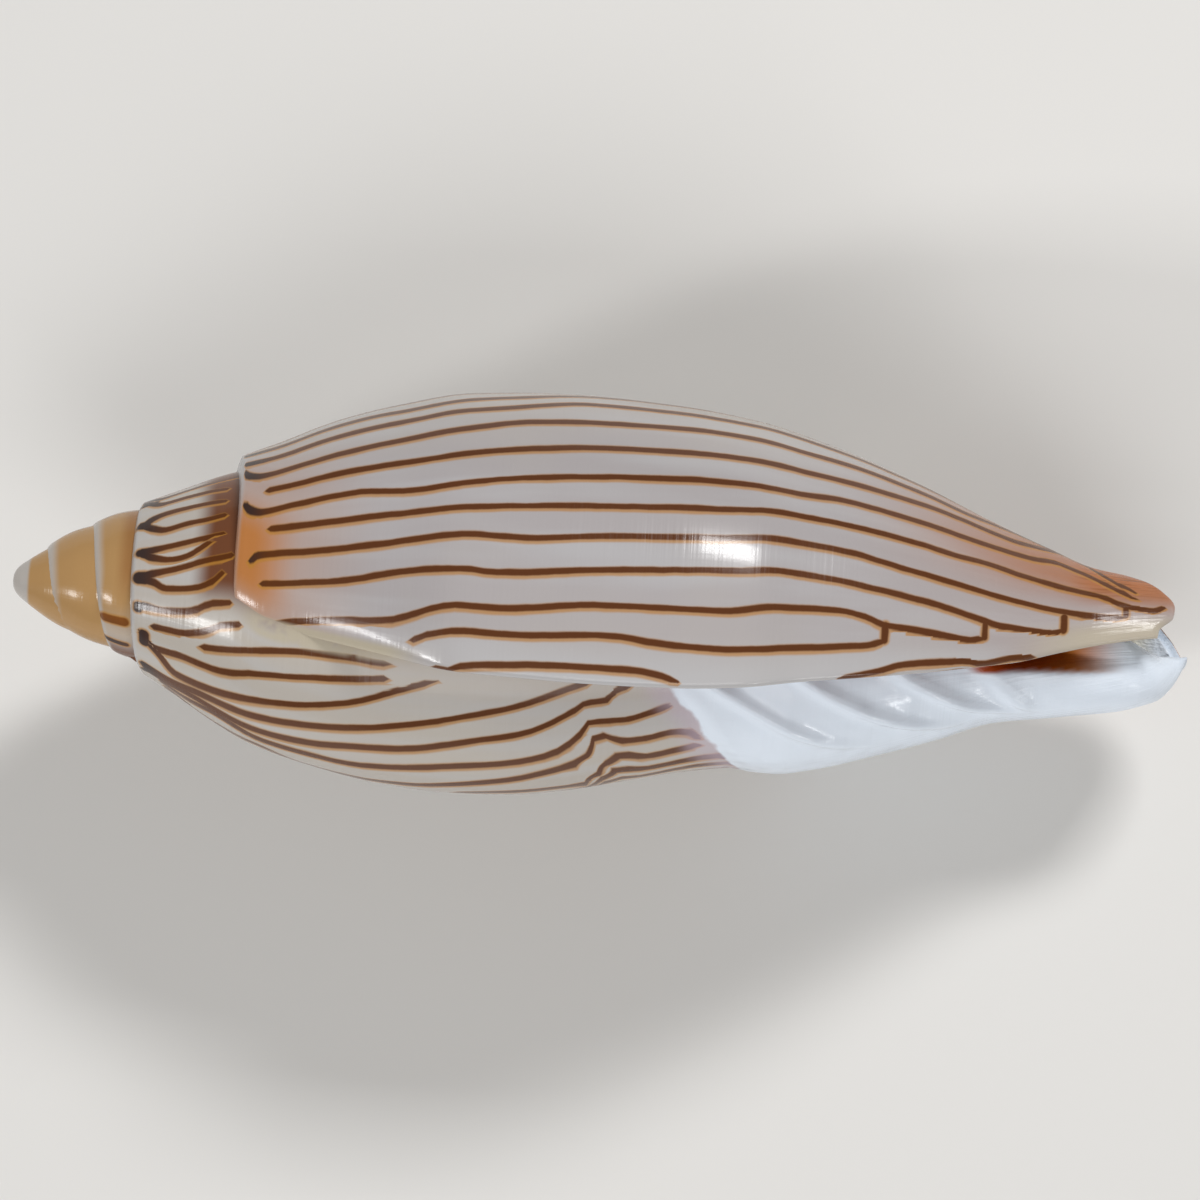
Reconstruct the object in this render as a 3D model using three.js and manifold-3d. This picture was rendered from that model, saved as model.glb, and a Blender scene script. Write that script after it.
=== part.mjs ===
// A volute shell: a slim glossy spindle of about three and a half turns, coiled to the right.
// It lies on its side on a small flat spot, with the outer lip turned up, the tip towards -X,
// the front canal towards +X and +Z up. Lengths are in millimetres and angles in degrees.
import * as THREE from "three";
import { mergeVertices } from "three/addons/utils/BufferGeometryUtils.js";
import Module from "manifold-3d";

// Driving dimensions.
const LENGTH = 58;
const LIP_EDGE = 0.75;
const WALL = 1.35;
const FLAT_SPOT_DEPTH = 0.3;
const ROLL = 4;
const PITCH = 3.5;
const COLUMNS = 48;
const ROWS = 36;

// A turn is counted back from the outer lip: 0 at the lip, 1 one whole turn earlier.
// The two outlines of the last turn, as distance from the tip and radius.
const UPPER_TURN = 0.29;
const UPPER_OUTLINE = [
  [10.5, 6.55],
  [12.5, 7.5],
  [15.5, 8.9],
  [18.5, 9.87],
  [22, 10.66],
  [27, 10.92],
  [32, 10.67],
  [36, 10.15],
  [40, 9.12],
  [44, 7.65],
  [48, 5.97],
  [51, 4.84],
  [53, 4.11],
  [54.6, 3.85],
  [58, 3.3],
];
const LOWER_TURN = 0.79;
const LOWER_OUTLINE = [
  [6.4, 3.95],
  [8, 4.87],
  [10.25, 6.24],
  [12.5, 7.37],
  [15.5, 8.2],
  [18.5, 8.79],
  [21.5, 9.04],
  [25, 8.95],
  [28, 8.5],
  [31, 7.8],
  [34, 7.12],
  [36.5, 6.8],
  [38, 6.85],
  [40, 6.5],
  [43, 5.6],
  [46, 4.6],
  [48.5, 3.63],
  [51.5, 3.12],
  [54.8, 2.53],
  [56.7, 1.8],
  [58, 1.2],
];
// The turn before, hidden inside the last turn from its seam on.
const INNER_TURN = 1.29;
const INNER_OUTLINE = [
  [6.08, 4.2],
  [8, 4.98],
  [10.5, 5.95],
  [14, 6.75],
  [19, 7.3],
  [24, 7.1],
  [30, 6.1],
  [36, 5],
  [42, 3.9],
  [48, 2.3],
  [54, 1.5],
  [58, 0.9],
];
const BLEND_END = 27;

// The seam where each turn meets the one before: turn, distance from the tip and radius.
const SEAM_PLACE = [
  [0, 11.1],
  [0.1, 11.15],
  [0.29, 10.5],
  [0.54, 8.7],
  [0.79, 6.4],
  [1.04, 6.02],
  [1.29, 5.95],
  [1.54, 5.6],
  [1.79, 4.95],
  [2.04, 4.2],
  [2.29, 3.6],
  [2.79, 2.24],
  [3.04, 1.85],
  [3.29, 1.51],
  [4, 0.3],
];
const SEAM_RADIUS = [
  [0, 7.0],
  [0.29, 6.55],
  [0.54, 5.3],
  [0.79, 3.95],
  [1.04, 4.1],
  [1.29, 4.2],
  [1.79, 3.1],
  [2.29, 2.98],
  [2.79, 1.92],
  [3.29, 1.75],
  [4, 0.5],
];
// How far each turn stands above the one before at their seam.
const SEAM_STEP = [
  [0, 0.7],
  [0.29, 0.62],
  [0.79, 0.45],
  [1.29, 0.33],
  [1.79, 0.14],
  [2.29, 0.07],
  [4, 0.04],
];
const TIP_DOME = [
  [0, 0],
  [0.06, 0.36],
  [0.3, 0.72],
  [0.65, 1.0],
  [1.25, 1.42],
  [2, 1.88],
  [2.6, 2.17],
  [3.4, 2.5],
  [4.4, 2.82],
];

// The edge of the outer lip: distance from the tip and angle, where 0 faces straight up.
const LIP_ANGLE = [
  [9, -3],
  [11, -4],
  [13, -11.5],
  [15, -13.5],
  [19, -14.8],
  [23, -15.2],
  [28, -15],
  [34, -14],
  [39, -12.4],
  [44, -10.7],
  [49, -7.9],
  [51.5, -1.5],
  [53.3, 5],
  [55, 11],
  [58, 20],
];
// Where the front end stops, by angle: the lobe of the lip, the notch and the pillar tip.
const FRONT_END = [
  [5, 56.2],
  [20, 56.3],
  [32, 57.05],
  [45, 57.15],
  [60, 56.7],
  [75, 56.0],
  [90, 55.1],
  [110, 54.5],
  [130, 54.9],
  [150, 56.0],
  [170, 57.2],
  [200, 57.8],
  [240, 58],
  [290, 57.8],
  [330, 57.3],
  [365, 56.6],
];

// The four folds on the pillar: distance from the tip at the middle, slant for each degree.
const FOLDS = [
  { place: 36.6, slant: 0.175, height: 0.42, half: 0.62 },
  { place: 41.4, slant: 0.16, height: 0.5, half: 0.62 },
  { place: 45.7, slant: 0.117, height: 0.48, half: 0.55 },
  { place: 48.9, slant: 0.05, height: 0.42, half: 0.5 },
];
const FOLD_MIDDLE = 323;
const CANAL_START = 47.5;
const CANAL_BED = 0.42;
const CAVITY_TURNS = 0.84;
// Earlier turns start a little under the turn that covers them, and lie just inside it.
const TUCK = 0.035;
const INSET = 0.05;
const SMALLEST_EDGE = 0.02;

// A smooth curve through a list of points that never overshoots between them.
function curve(points) {
  const count = points.length;
  const slopes = [];
  for (let i = 0; i < count - 1; i += 1) {
    slopes.push((points[i + 1][1] - points[i][1]) / (points[i + 1][0] - points[i][0]));
  }
  const tangents = [slopes[0]];
  for (let i = 1; i < count - 1; i += 1) {
    const turning = slopes[i - 1] * slopes[i] <= 0;
    const even = (2 * slopes[i - 1] * slopes[i]) / (slopes[i - 1] + slopes[i]);
    tangents.push(turning ? 0 : even);
  }
  tangents.push(slopes[count - 2]);
  return (x) => {
    if (x <= points[0][0]) {
      return points[0][1] + tangents[0] * (x - points[0][0]);
    }
    if (x >= points[count - 1][0]) {
      return points[count - 1][1] + tangents[count - 1] * (x - points[count - 1][0]);
    }
    let i = 0;
    while (x > points[i + 1][0]) {
      i += 1;
    }
    const span = points[i + 1][0] - points[i][0];
    const t = (x - points[i][0]) / span;
    const rise = span * t * (1 - t);
    return (
      points[i][1] * (1 + 2 * t) * (1 - t) ** 2 +
      points[i + 1][1] * (3 - 2 * t) * t ** 2 +
      rise * (tangents[i] * (1 - t) - tangents[i + 1] * t)
    );
  };
}

const upperOutline = curve(UPPER_OUTLINE);
const lowerOutline = curve(LOWER_OUTLINE);
const innerOutline = curve(INNER_OUTLINE);
const seamPlace = curve(SEAM_PLACE);
const seamRadius = curve(SEAM_RADIUS);
const seamStep = curve(SEAM_STEP);
const lipAngle = curve(LIP_ANGLE);
const frontEnd = curve(FRONT_END);
const { clamp, lerp, smoothstep } = THREE.MathUtils;

// The place along the axis, moved so that the seams of two turns fall together.
function matched(along, turn, otherTurn) {
  if (along >= BLEND_END) {
    return along;
  }
  const here = seamPlace(turn);
  const there = seamPlace(otherTurn);
  return there + ((along - here) * (BLEND_END - there)) / (BLEND_END - here);
}

function foldHeight(along, angle) {
  const fade = smoothstep(angle, FOLD_MIDDLE - 38, FOLD_MIDDLE - 14);
  let height = 0;
  for (const fold of FOLDS) {
    const offset = (along - fold.place + fold.slant * (angle - FOLD_MIDDLE)) / fold.half;
    height += fold.height * fade * Math.exp(-offset * offset);
  }
  return height;
}

// The radius of the last turn, and of its hidden run under the lip.
function lastTurnRadius(along, turn) {
  const upper = Math.log(upperOutline(matched(along, turn, UPPER_TURN)));
  const lower = Math.log(lowerOutline(matched(along, turn, LOWER_TURN)));
  const inner = Math.log(innerOutline(matched(along, turn, INNER_TURN)));
  if (turn < LOWER_TURN) {
    const canalFade = 1 - 0.9 * smoothstep(along, 44, 52);
    const t = (turn - UPPER_TURN) / (LOWER_TURN - UPPER_TURN);
    const eased = t < 0 ? t * 0.78 * canalFade : t;
    return Math.exp(lerp(upper, lower, eased));
  }
  const angle = lipAngle(along) + 360 * turn;
  const t = (turn - LOWER_TURN) / (INNER_TURN - LOWER_TURN);
  const radius = Math.exp(lerp(lower, inner, t));
  const drop = smoothstep(along, CANAL_START, CANAL_START + 3) * smoothstep(angle, 335, 365);
  return radius * lerp(1, CANAL_BED, drop) + foldHeight(along, angle);
}

// The radius of an earlier turn, between its own seam and the next.
function earlyTurnRadius(along, turn) {
  const start = seamPlace(turn);
  const t = (along - start) / (seamPlace(turn - 1) - start);
  const first = seamRadius(turn);
  const last = seamRadius(turn - 1) - seamStep(turn - 1);
  const swell = 0.16 * smoothstep(turn, 1.4, 2.3);
  return lerp(first, last, t) + swell * Math.sin(Math.PI * clamp(t, 0, 1));
}

function shellRadius(along, turn) {
  if (turn < INNER_TURN || (turn < INNER_TURN + 0.6 && along > seamPlace(turn - 1) + 1.5)) {
    return lastTurnRadius(along, Math.min(turn, 1.9));
  }
  return earlyTurnRadius(along, turn);
}

// A point of the shell: along the axis, at an angle about it and at a radius.
function place(along, angle, radius) {
  const turned = THREE.MathUtils.degToRad(angle);
  return new THREE.Vector3(along, radius * Math.sin(turned), radius * Math.cos(turned));
}

function geometryFrom(points, triangles) {
  const geometry = new THREE.BufferGeometry().setFromPoints(points);
  geometry.setIndex(triangles);
  return geometry;
}

// A closed tube through rings of equal length, with a point closing each end.
function tube(rings, firstPoint, lastPoint) {
  const size = rings[0].length;
  const points = [...rings.flat(), firstPoint, lastPoint];
  const first = points.length - 2;
  const last = points.length - 1;
  const triangles = [];
  for (let i = 0; i < size; i += 1) {
    const next = (i + 1) % size;
    const end = (rings.length - 1) * size;
    triangles.push(first, next, i);
    triangles.push(last, end + i, end + next);
    for (let j = 0; j < rings.length - 1; j += 1) {
      const low = j * size;
      const high = low + size;
      triangles.push(low + i, low + next, high + next, low + i, high + next, high + i);
    }
  }
  return geometryFrom(points, triangles);
}

const wasm = await Module();
wasm.setup();

function solid(geometry) {
  const merged = mergeVertices(geometry, 1e-5);
  const made = new wasm.Manifold(
    new wasm.Mesh({
      numProp: 3,
      vertProperties: merged.getAttribute("position").array,
      triVerts: new Uint32Array(merged.index.array),
    }),
  );
  return made;
}

// The rings of one turn, from its seam to where the next turn covers it.
function turnRings(firstTurn, columns, rows, endOf, inset) {
  const rings = [];
  for (let j = 0; j <= rows; j += 1) {
    const ring = [];
    for (let i = 0; i <= columns; i += 1) {
      const turn = firstTurn + i / columns;
      const start = seamPlace(turn);
      const along = lerp(start, endOf(turn), j / rows);
      const radius = shellRadius(along, turn) - inset;
      ring.push(place(along, lipAngle(along) + 360 * turn, radius));
    }
    rings.push(ring.reverse());
  }
  return rings;
}

function lastTurnSolid() {
  const endOf = (turn) => frontEnd(lipAngle(56) + 360 * turn);
  const rings = turnRings(0, COLUMNS, ROWS, endOf, 0);
  const seam = new THREE.Vector3(seamPlace(0.5) + 2, 0, 0);
  const front = new THREE.Vector3(LENGTH - 0.4, -0.5, 0);
  const closing = rings.at(-1).map((point) => point.clone().lerp(front, 0.4));
  closing.forEach((point) => {
    point.x += 0.06;
  });
  return solid(tube([...rings, closing], seam, front));
}

function earlyTurnSolid(firstTurn, columns, rows, inset) {
  const endOf = (turn) => {
    const start = seamPlace(turn);
    return start + 1.12 * (seamPlace(turn - 1) - start);
  };
  const rings = turnRings(firstTurn, columns, rows, endOf, inset);
  const first = new THREE.Vector3(seamPlace(firstTurn + 0.5) + 0.3, 0, 0);
  const last = new THREE.Vector3(endOf(firstTurn + 0.5), 0, 0);
  return solid(tube(rings, first, last));
}

function tipSolid() {
  const profile = TIP_DOME.map(([along, radius]) => new THREE.Vector2(radius, along));
  profile.push(new THREE.Vector2(0, TIP_DOME.at(-1)[0]));
  const dome = new THREE.LatheGeometry(profile, 28);
  dome.deleteAttribute("normal");
  dome.deleteAttribute("uv");
  dome.rotateZ(-Math.PI / 2);
  return solid(dome);
}

// The hollow: from the mouth inwards, between the turn before and the inside of the wall.
function hollowSolid() {
  const columns = 24;
  const rows = 26;
  const rings = [];
  const endAt = curve([
    [0, 59.5],
    [0.42, 59.5],
    [0.5, 57],
    [0.56, 52],
    [0.66, 47],
    [0.9, 41],
  ]);
  for (let i = 0; i <= columns; i += 1) {
    const turn = lerp(-0.09, CAVITY_TURNS, i / columns);
    const inward = Math.max(turn, 0);
    const start = seamPlace(inward) + lerp(1.7, 2.1, inward);
    const inner = [];
    const outer = [];
    for (let j = 0; j <= rows; j += 1) {
      const along = lerp(start, endAt(inward), j / rows);
      const angle = lipAngle(along) + 360 * turn;
      const wall = lerp(LIP_EDGE, WALL, smoothstep(inward, 0, 0.22));
      const taper = 1 - 0.35 * smoothstep(along, 42, 52);
      const roof = shellRadius(along, inward) - wall * taper;
      const floor = shellRadius(along, 1 + turn) + (turn < 0 ? 0.12 : 0);
      outer.push(place(along, angle, roof));
      inner.push(place(along, angle, Math.min(floor, roof - 0.25)));
    }
    rings.push([...outer, ...inner.reverse()]);
  }
  return rings;
}

// A solid strip between matching outer and inner rows, closed at its two ends.
function stripSolid(rings) {
  const size = rings[0].length;
  const half = size / 2;
  const triangles = [];
  for (let i = 0; i < rings.length - 1; i += 1) {
    for (let j = 0; j < size; j += 1) {
      const next = (j + 1) % size;
      const near = i * size;
      const far = near + size;
      triangles.push(near + j, near + next, far + next, near + j, far + next, far + j);
    }
  }
  const end = (rings.length - 1) * size;
  for (let j = 0; j < half - 1; j += 1) {
    const across = size - 1 - j;
    triangles.push(j, across, across - 1, j, across - 1, j + 1);
    triangles.push(end + j, end + j + 1, end + across - 1, end + j, end + across - 1, end + across);
  }
  return solid(geometryFrom(rings.flat(), triangles));
}

function meshOf(made) {
  const { vertProperties, triVerts, numProp } = made.getMesh();
  const positions = [];
  for (let i = 0; i < vertProperties.length; i += numProp) {
    positions.push(vertProperties[i], vertProperties[i + 1], vertProperties[i + 2]);
  }
  const geometry = new THREE.BufferGeometry();
  geometry.setAttribute("position", new THREE.Float32BufferAttribute(positions, 3));
  geometry.setIndex([...triVerts]);
  return geometry;
}

// The same surface without its shortest edges and the slivers beside them.
function cleaned(geometry) {
  const merged = mergeVertices(geometry, SMALLEST_EDGE);
  const corners = merged.index.array;
  const kept = [];
  for (let i = 0; i < corners.length; i += 3) {
    const [a, b, c] = corners.slice(i, i + 3);
    if (a !== b && b !== c && c !== a) {
      kept.push(a, b, c);
    }
  }
  merged.setIndex(kept);
  return merged;
}

// The block under the resting plane, which leaves the small flat spot.
function underBlock(lowest) {
  const block = new THREE.BoxGeometry(2 * LENGTH, LENGTH, LENGTH);
  block.deleteAttribute("normal");
  block.deleteAttribute("uv");
  block.translate(LENGTH / 2, 0, lowest + FLAT_SPOT_DEPTH - LENGTH / 2);
  return solid(block);
}

const shellBody = lastTurnSolid()
  .add(earlyTurnSolid(1 - TUCK, 44, 7, INSET))
  .add(earlyTurnSolid(2 - 2 * TUCK, 36, 5, 2 * INSET))
  .add(tipSolid())
  .subtract(stripSolid(hollowSolid()));
const lying = cleaned(meshOf(shellBody));
lying.translate(-LENGTH / 2, 0, 0);
lying.rotateX(THREE.MathUtils.degToRad(ROLL));
lying.rotateY(THREE.MathUtils.degToRad(PITCH));
lying.translate(LENGTH / 2, 0, 0);
lying.computeBoundingBox();
const rested = meshOf(solid(lying).subtract(underBlock(lying.boundingBox.min.z)));
rested.computeBoundingBox();
const box = rested.boundingBox;
rested.translate(-(box.min.x + box.max.x) / 2, -(box.min.y + box.max.y) / 2, -box.min.z);
rested.computeVertexNormals();

const porcelain = new THREE.MeshStandardMaterial({
  color: 0xd9c8b4,
  roughness: 0.22,
  metalness: 0,
});
const shell = new THREE.Mesh(rested, porcelain);
shell.name = "shell";

const root = new THREE.Group();
root.add(shell);
export default root;
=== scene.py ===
"""The looks of a volute shell on its side: its fine surface, its finish and its studio."""

import logging
import math
from collections.abc import Sequence
from dataclasses import dataclass, field
from typing import Any

import bpy
import numpy as np
from mathutils import Matrix, Vector

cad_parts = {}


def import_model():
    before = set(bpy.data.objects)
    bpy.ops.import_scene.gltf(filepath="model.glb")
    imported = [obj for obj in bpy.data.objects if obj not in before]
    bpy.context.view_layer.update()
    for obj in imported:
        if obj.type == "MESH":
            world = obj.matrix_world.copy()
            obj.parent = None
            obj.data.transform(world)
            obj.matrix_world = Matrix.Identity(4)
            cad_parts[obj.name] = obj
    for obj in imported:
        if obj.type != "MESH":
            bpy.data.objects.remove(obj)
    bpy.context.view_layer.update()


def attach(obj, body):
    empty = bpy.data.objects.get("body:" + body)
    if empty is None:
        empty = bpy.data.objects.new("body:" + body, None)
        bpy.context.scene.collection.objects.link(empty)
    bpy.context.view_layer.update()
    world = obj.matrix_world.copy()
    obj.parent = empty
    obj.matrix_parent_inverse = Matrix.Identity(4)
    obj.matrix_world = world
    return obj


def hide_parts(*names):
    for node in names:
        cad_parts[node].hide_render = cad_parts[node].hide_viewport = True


logging.basicConfig(level=logging.INFO, format="%(message)s")
log = logging.getLogger("volute")

MILLIMETRE = 0.001
Points = Sequence[tuple[float, float]]
Zone = tuple[float, float]
Colour = tuple[float, float, float]


def smoothstep(value: np.ndarray, low: float, high: float) -> np.ndarray:
    """Rises smoothly from 0 to 1.

    Args:
        value: The numbers to read.
        low: Where the rise starts.
        high: Where the rise ends.

    Returns:
        The risen share for each number.
    """
    share = np.clip((value - low) / (high - low), 0.0, 1.0)
    return share * share * (3.0 - 2.0 * share)


class Curve:
    """A smooth line through a few points that never overshoots between them."""

    def __init__(self, points: Points) -> None:
        """Keeps the points and works out a slope at each.

        Args:
            points: Pairs of place and value, with rising places.
        """
        self.places = np.array([p[0] for p in points], dtype=float)
        self.values = np.array([p[1] for p in points], dtype=float)
        steps = np.diff(self.values) / np.diff(self.places)
        slopes = [steps[0]]
        for before, after in zip(steps[:-1], steps[1:]):
            turning = before * after <= 0.0
            slopes.append(0.0 if turning else 2.0 * before * after / (before + after))
        slopes.append(steps[-1])
        self.slopes = np.array(slopes)

    def __call__(self, at: Any) -> np.ndarray:
        """Reads the curve.

        Args:
            at: One place or an array of places.

        Returns:
            The value at each place, carried on straight past both ends.
        """
        x = np.asarray(at, dtype=float)
        last = len(self.places) - 1
        i = np.clip(np.searchsorted(self.places, x, side="right") - 1, 0, last - 1)
        span = self.places[i + 1] - self.places[i]
        t = np.clip((x - self.places[i]) / span, 0.0, 1.0)
        inside = (
            self.values[i] * (1 + 2 * t) * (1 - t) ** 2
            + self.values[i + 1] * (3 - 2 * t) * t**2
            + span * t * (1 - t) * (self.slopes[i] * (1 - t) - self.slopes[i + 1] * t)
        )
        under = self.slopes[0] * np.minimum(x - self.places[0], 0.0)
        over = self.slopes[last] * np.maximum(x - self.places[last], 0.0)
        return inside + under + over


def smooth(*points: tuple[float, float]) -> Any:
    """Declares a dataclass field that holds a smooth line through a few points.

    Args:
        points: Pairs of place and value, with rising places.

    Returns:
        The field.
    """
    return field(default_factory=lambda: Curve(points))


@dataclass(frozen=True)
class Fold:
    """One oblique fold on the pillar, in millimetres."""

    place: float
    slant: float
    height: float
    half: float


@dataclass
class ShellForm:
    """The coiled form, in millimetres along the axis from the tip and degrees about it.

    A turn counts back from the outer lip: 0 at the lip, 1 one whole turn earlier. A zone is
    where something rises from nothing to full.
    """

    length: float = 58.0
    lip_edge: float = 0.75
    wall: float = 1.35
    spot_depth: float = 0.3
    roll: float = 4.0
    pitch: float = 3.5
    blend_end: float = 27.0
    upper_turn: float = 0.29
    lower_turn: float = 0.79
    inner_turn: float = 1.29
    covered_turn: float = 1.89
    covered_after: float = 1.5
    lip_ease: float = 0.78
    lip_ease_lost: float = 0.9
    lip_ease_zone: Zone = (44.0, 52.0)
    early_swell: float = 0.16
    early_swell_turns: Zone = (1.4, 2.3)
    fold_middle: float = 323.0
    fold_angles: Zone = (285.0, 309.0)
    canal_start: Zone = (47.5, 50.5)
    canal_end: Zone = (51.0, 55.5)
    canal_angles: Zone = (334.0, 353.0)
    canal_bed: float = 0.42
    front_place: float = 56.0
    upper_outline: Curve = smooth(
        (10.5, 6.55), (12.5, 7.5), (15.5, 8.9), (18.5, 9.87), (22, 10.66), (27, 10.92), (32, 10.67),
        (36, 10.15), (40, 9.12), (44, 7.65), (48, 5.97), (51, 4.84), (53, 4.11), (54.6, 3.85),
        (58, 3.3)
    )
    lower_outline: Curve = smooth(
        (6.4, 3.95), (8, 4.87), (10.25, 6.24), (12.5, 7.37), (15.5, 8.2), (18.5, 8.79),
        (21.5, 9.04), (25, 8.95), (28, 8.5), (31, 7.8), (34, 7.12), (36.5, 6.8), (38, 6.85),
        (40, 6.5), (43, 5.6), (46, 4.6), (48.5, 3.63), (51.5, 3.12), (54.8, 2.53), (56.7, 1.8),
        (58, 1.2)
    )
    inner_outline: Curve = smooth(
        (6.08, 4.2), (8, 4.98), (10.5, 5.95), (14, 6.75), (19, 7.3), (24, 7.1), (30, 6.1), (36, 5),
        (42, 3.9), (48, 2.3), (54, 1.5), (58, 0.9)
    )
    seam_place: Curve = smooth(
        (0, 11.1), (0.1, 11.15), (0.29, 10.5), (0.54, 8.7), (0.79, 6.4), (1.04, 6.02), (1.29, 5.95),
        (1.54, 5.6), (1.79, 4.95), (2.04, 4.2), (2.29, 3.6), (2.79, 2.24), (3.04, 1.85),
        (3.29, 1.51), (4, 0.3)
    )
    seam_radius: Curve = smooth(
        (0, 7.0), (0.29, 6.55), (0.54, 5.3), (0.79, 3.95), (1.04, 4.1), (1.29, 4.2), (1.79, 3.1),
        (2.29, 2.98), (2.79, 1.92), (3.29, 1.75), (4, 0.5)
    )
    seam_step: Curve = smooth(
        (0, 0.7), (0.29, 0.62), (0.79, 0.45), (1.29, 0.33), (1.79, 0.14), (2.29, 0.07), (4, 0.04)
    )
    lip_angle: Curve = smooth(
        (9, -3), (11, -4), (13, -11.5), (15, -13.5), (19, -14.8), (23, -15.2), (28, -15), (34, -14),
        (39, -12.4), (44, -10.7), (49, -7.9), (51.5, -1.5), (53.3, 5), (55, 11), (58, 20)
    )
    front_end: Curve = smooth(
        (5, 56.1), (20, 56.2), (32, 56.9), (45, 57.0), (60, 56.6), (75, 56.0), (90, 55.1),
        (110, 54.7), (130, 55.6), (148, 56.8), (162, 57.5), (180, 57.9), (200, 58), (230, 57.9),
        (260, 57.75), (290, 57.5), (315, 57.2), (335, 56.8), (365, 56.3), (420, 54.4), (500, 52.5),
        (720, 51.5)
    )
    folds: tuple[Fold, ...] = (
        Fold(36.6, 0.175, 0.32, 0.66),
        Fold(41.4, 0.16, 0.38, 0.68),
        Fold(45.7, 0.117, 0.37, 0.6),
        Fold(48.9, 0.05, 0.33, 0.54),
    )
    glaze_start: Curve = smooth(
        (225, 38.5), (262, 36.4), (280, 36.0), (296, 35.1), (318, 34.0), (331, 32.9), (346, 32.2),
        (400, 30.0), (700, 28.0)
    )
    glaze_from: float = 200.0
    glaze_thickness: float = 0.16
    fused_from: float = 13.0
    fused_until: float = 23.0
    fused_turn: float = 0.17
    fused_above: float = 0.08
    tip_dome: Curve = smooth(
        (0, 0), (0.06, 0.36), (0.3, 0.72), (0.65, 1.0), (1.25, 1.42), (2, 1.88), (2.6, 2.17),
        (3.4, 2.42), (4.4, 2.6)
    )
    fold_slant: Curve = field(init=False)

    def __post_init__(self) -> None:
        """Draws the slant along the axis through the folds' own, level before and after."""
        slants = [(fold.place, fold.slant) for fold in self.folds]
        self.fold_slant = Curve([(0, 0), (26, 0), *slants, (52, 0), (60, 0)])

    def points(self, along: np.ndarray, turn: np.ndarray, radius: np.ndarray) -> np.ndarray:
        """Gives the points in space of places on the shell, in the axis frame.

        Args:
            along: Places on the axis, by column and row.
            turn: The turn of each place.
            radius: The radius there.

        Returns:
            One row of three numbers for each place.
        """
        angle = np.radians(self.lip_angle(along) + 360 * turn)
        points = np.stack([along, radius * np.sin(angle), radius * np.cos(angle)], axis=2)
        return points.reshape(-1, 3)

    def front(self, turn: np.ndarray) -> np.ndarray:
        """Gives the place on the axis where the front ends at a turn."""
        return self.front_end(self.lip_angle(self.front_place) + 360 * turn)

    def matched(self, along: np.ndarray, turn: np.ndarray, other: float) -> np.ndarray:
        """Moves places so that the seams of two turns fall together.

        Args:
            along: Places on the axis.
            turn: The turn of each place.
            other: The turn whose outline is read.

        Returns:
            The places to read that outline at.
        """
        here = self.seam_place(turn)
        there = self.seam_place(other)
        moved = there + (along - here) * (self.blend_end - there) / (self.blend_end - here)
        return np.where(along >= self.blend_end, along, moved)

    def fold_height(self, along: np.ndarray, angle: np.ndarray) -> np.ndarray:
        """Gives how far the pillar's folds stand up.

        Args:
            along: Places on the axis.
            angle: Angles about it, carried on past a whole turn.

        Returns:
            The height at each place.
        """
        fade = smoothstep(angle, *self.fold_angles)
        height = np.zeros_like(along)
        for fold in self.folds:
            offset = along - fold.place + fold.slant * (angle - self.fold_middle)
            height += fold.height * fade * np.exp(-((offset / fold.half) ** 2))
        return height

    def last_turn_radius(self, along: np.ndarray, turn: np.ndarray) -> np.ndarray:
        """Gives the radius of the last turn, and of its run under the lip.

        Args:
            along: Places on the axis.
            turn: The turn of each place.

        Returns:
            The radius at each place.
        """
        upper = np.log(self.upper_outline(self.matched(along, turn, self.upper_turn)))
        lower = np.log(self.lower_outline(self.matched(along, turn, self.lower_turn)))
        inner = np.log(self.inner_outline(self.matched(along, turn, self.inner_turn)))
        ease = self.lip_ease * (1 - self.lip_ease_lost * smoothstep(along, *self.lip_ease_zone))
        share = (turn - self.upper_turn) / (self.lower_turn - self.upper_turn)
        eased = np.where(share < 0, share * ease, share)
        outside = np.exp(upper + (lower - upper) * eased)
        angle = self.lip_angle(along) + 360 * turn
        share = (turn - self.lower_turn) / (self.inner_turn - self.lower_turn)
        radius = np.exp(lower + (inner - lower) * share)
        drop = smoothstep(along, *self.canal_start) * smoothstep(angle, *self.canal_angles)
        drop = drop * (1 - smoothstep(along, *self.canal_end))
        under = radius * (1 + (self.canal_bed - 1) * drop) + self.fold_height(along, angle)
        return np.where(turn < self.lower_turn, outside, under)

    def early_turn_radius(self, along: np.ndarray, turn: np.ndarray) -> np.ndarray:
        """Gives the radius of an earlier turn, between its own seam and the next.

        Args:
            along: Places on the axis.
            turn: The turn of each place.

        Returns:
            The radius at each place.
        """
        start = self.seam_place(turn)
        share = (along - start) / (self.seam_place(turn - 1) - start)
        first = self.seam_radius(turn)
        last = self.seam_radius(turn - 1) - self.seam_step(turn - 1)
        swell = self.early_swell * smoothstep(turn, *self.early_swell_turns)
        return first + (last - first) * share + swell * np.sin(np.pi * np.clip(share, 0, 1))

    def radius(self, along: np.ndarray, turn: np.ndarray) -> np.ndarray:
        """Gives the radius of the shell's outside anywhere.

        Args:
            along: Places on the axis.
            turn: The turn of each place.

        Returns:
            The radius at each place.
        """
        covered = along > self.seam_place(turn - 1) + self.covered_after
        covered = covered & (turn < self.covered_turn)
        late = (turn < self.inner_turn) | covered
        return np.where(
            late,
            self.last_turn_radius(along, np.minimum(turn, 1.9)),
            self.early_turn_radius(along, np.maximum(turn, 1.0)),
        )

    def glaze_edge(self, angle: np.ndarray) -> np.ndarray:
        """Gives the place where the pillar's white glaze starts.

        Args:
            angle: Angles about the axis, carried on past a whole turn.

        Returns:
            The place at each angle, past the front where there is no glaze.
        """
        glazed = self.glaze_start(np.maximum(angle, self.glaze_from))
        return np.where(angle < self.glaze_from, self.length + 2, glazed)

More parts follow.
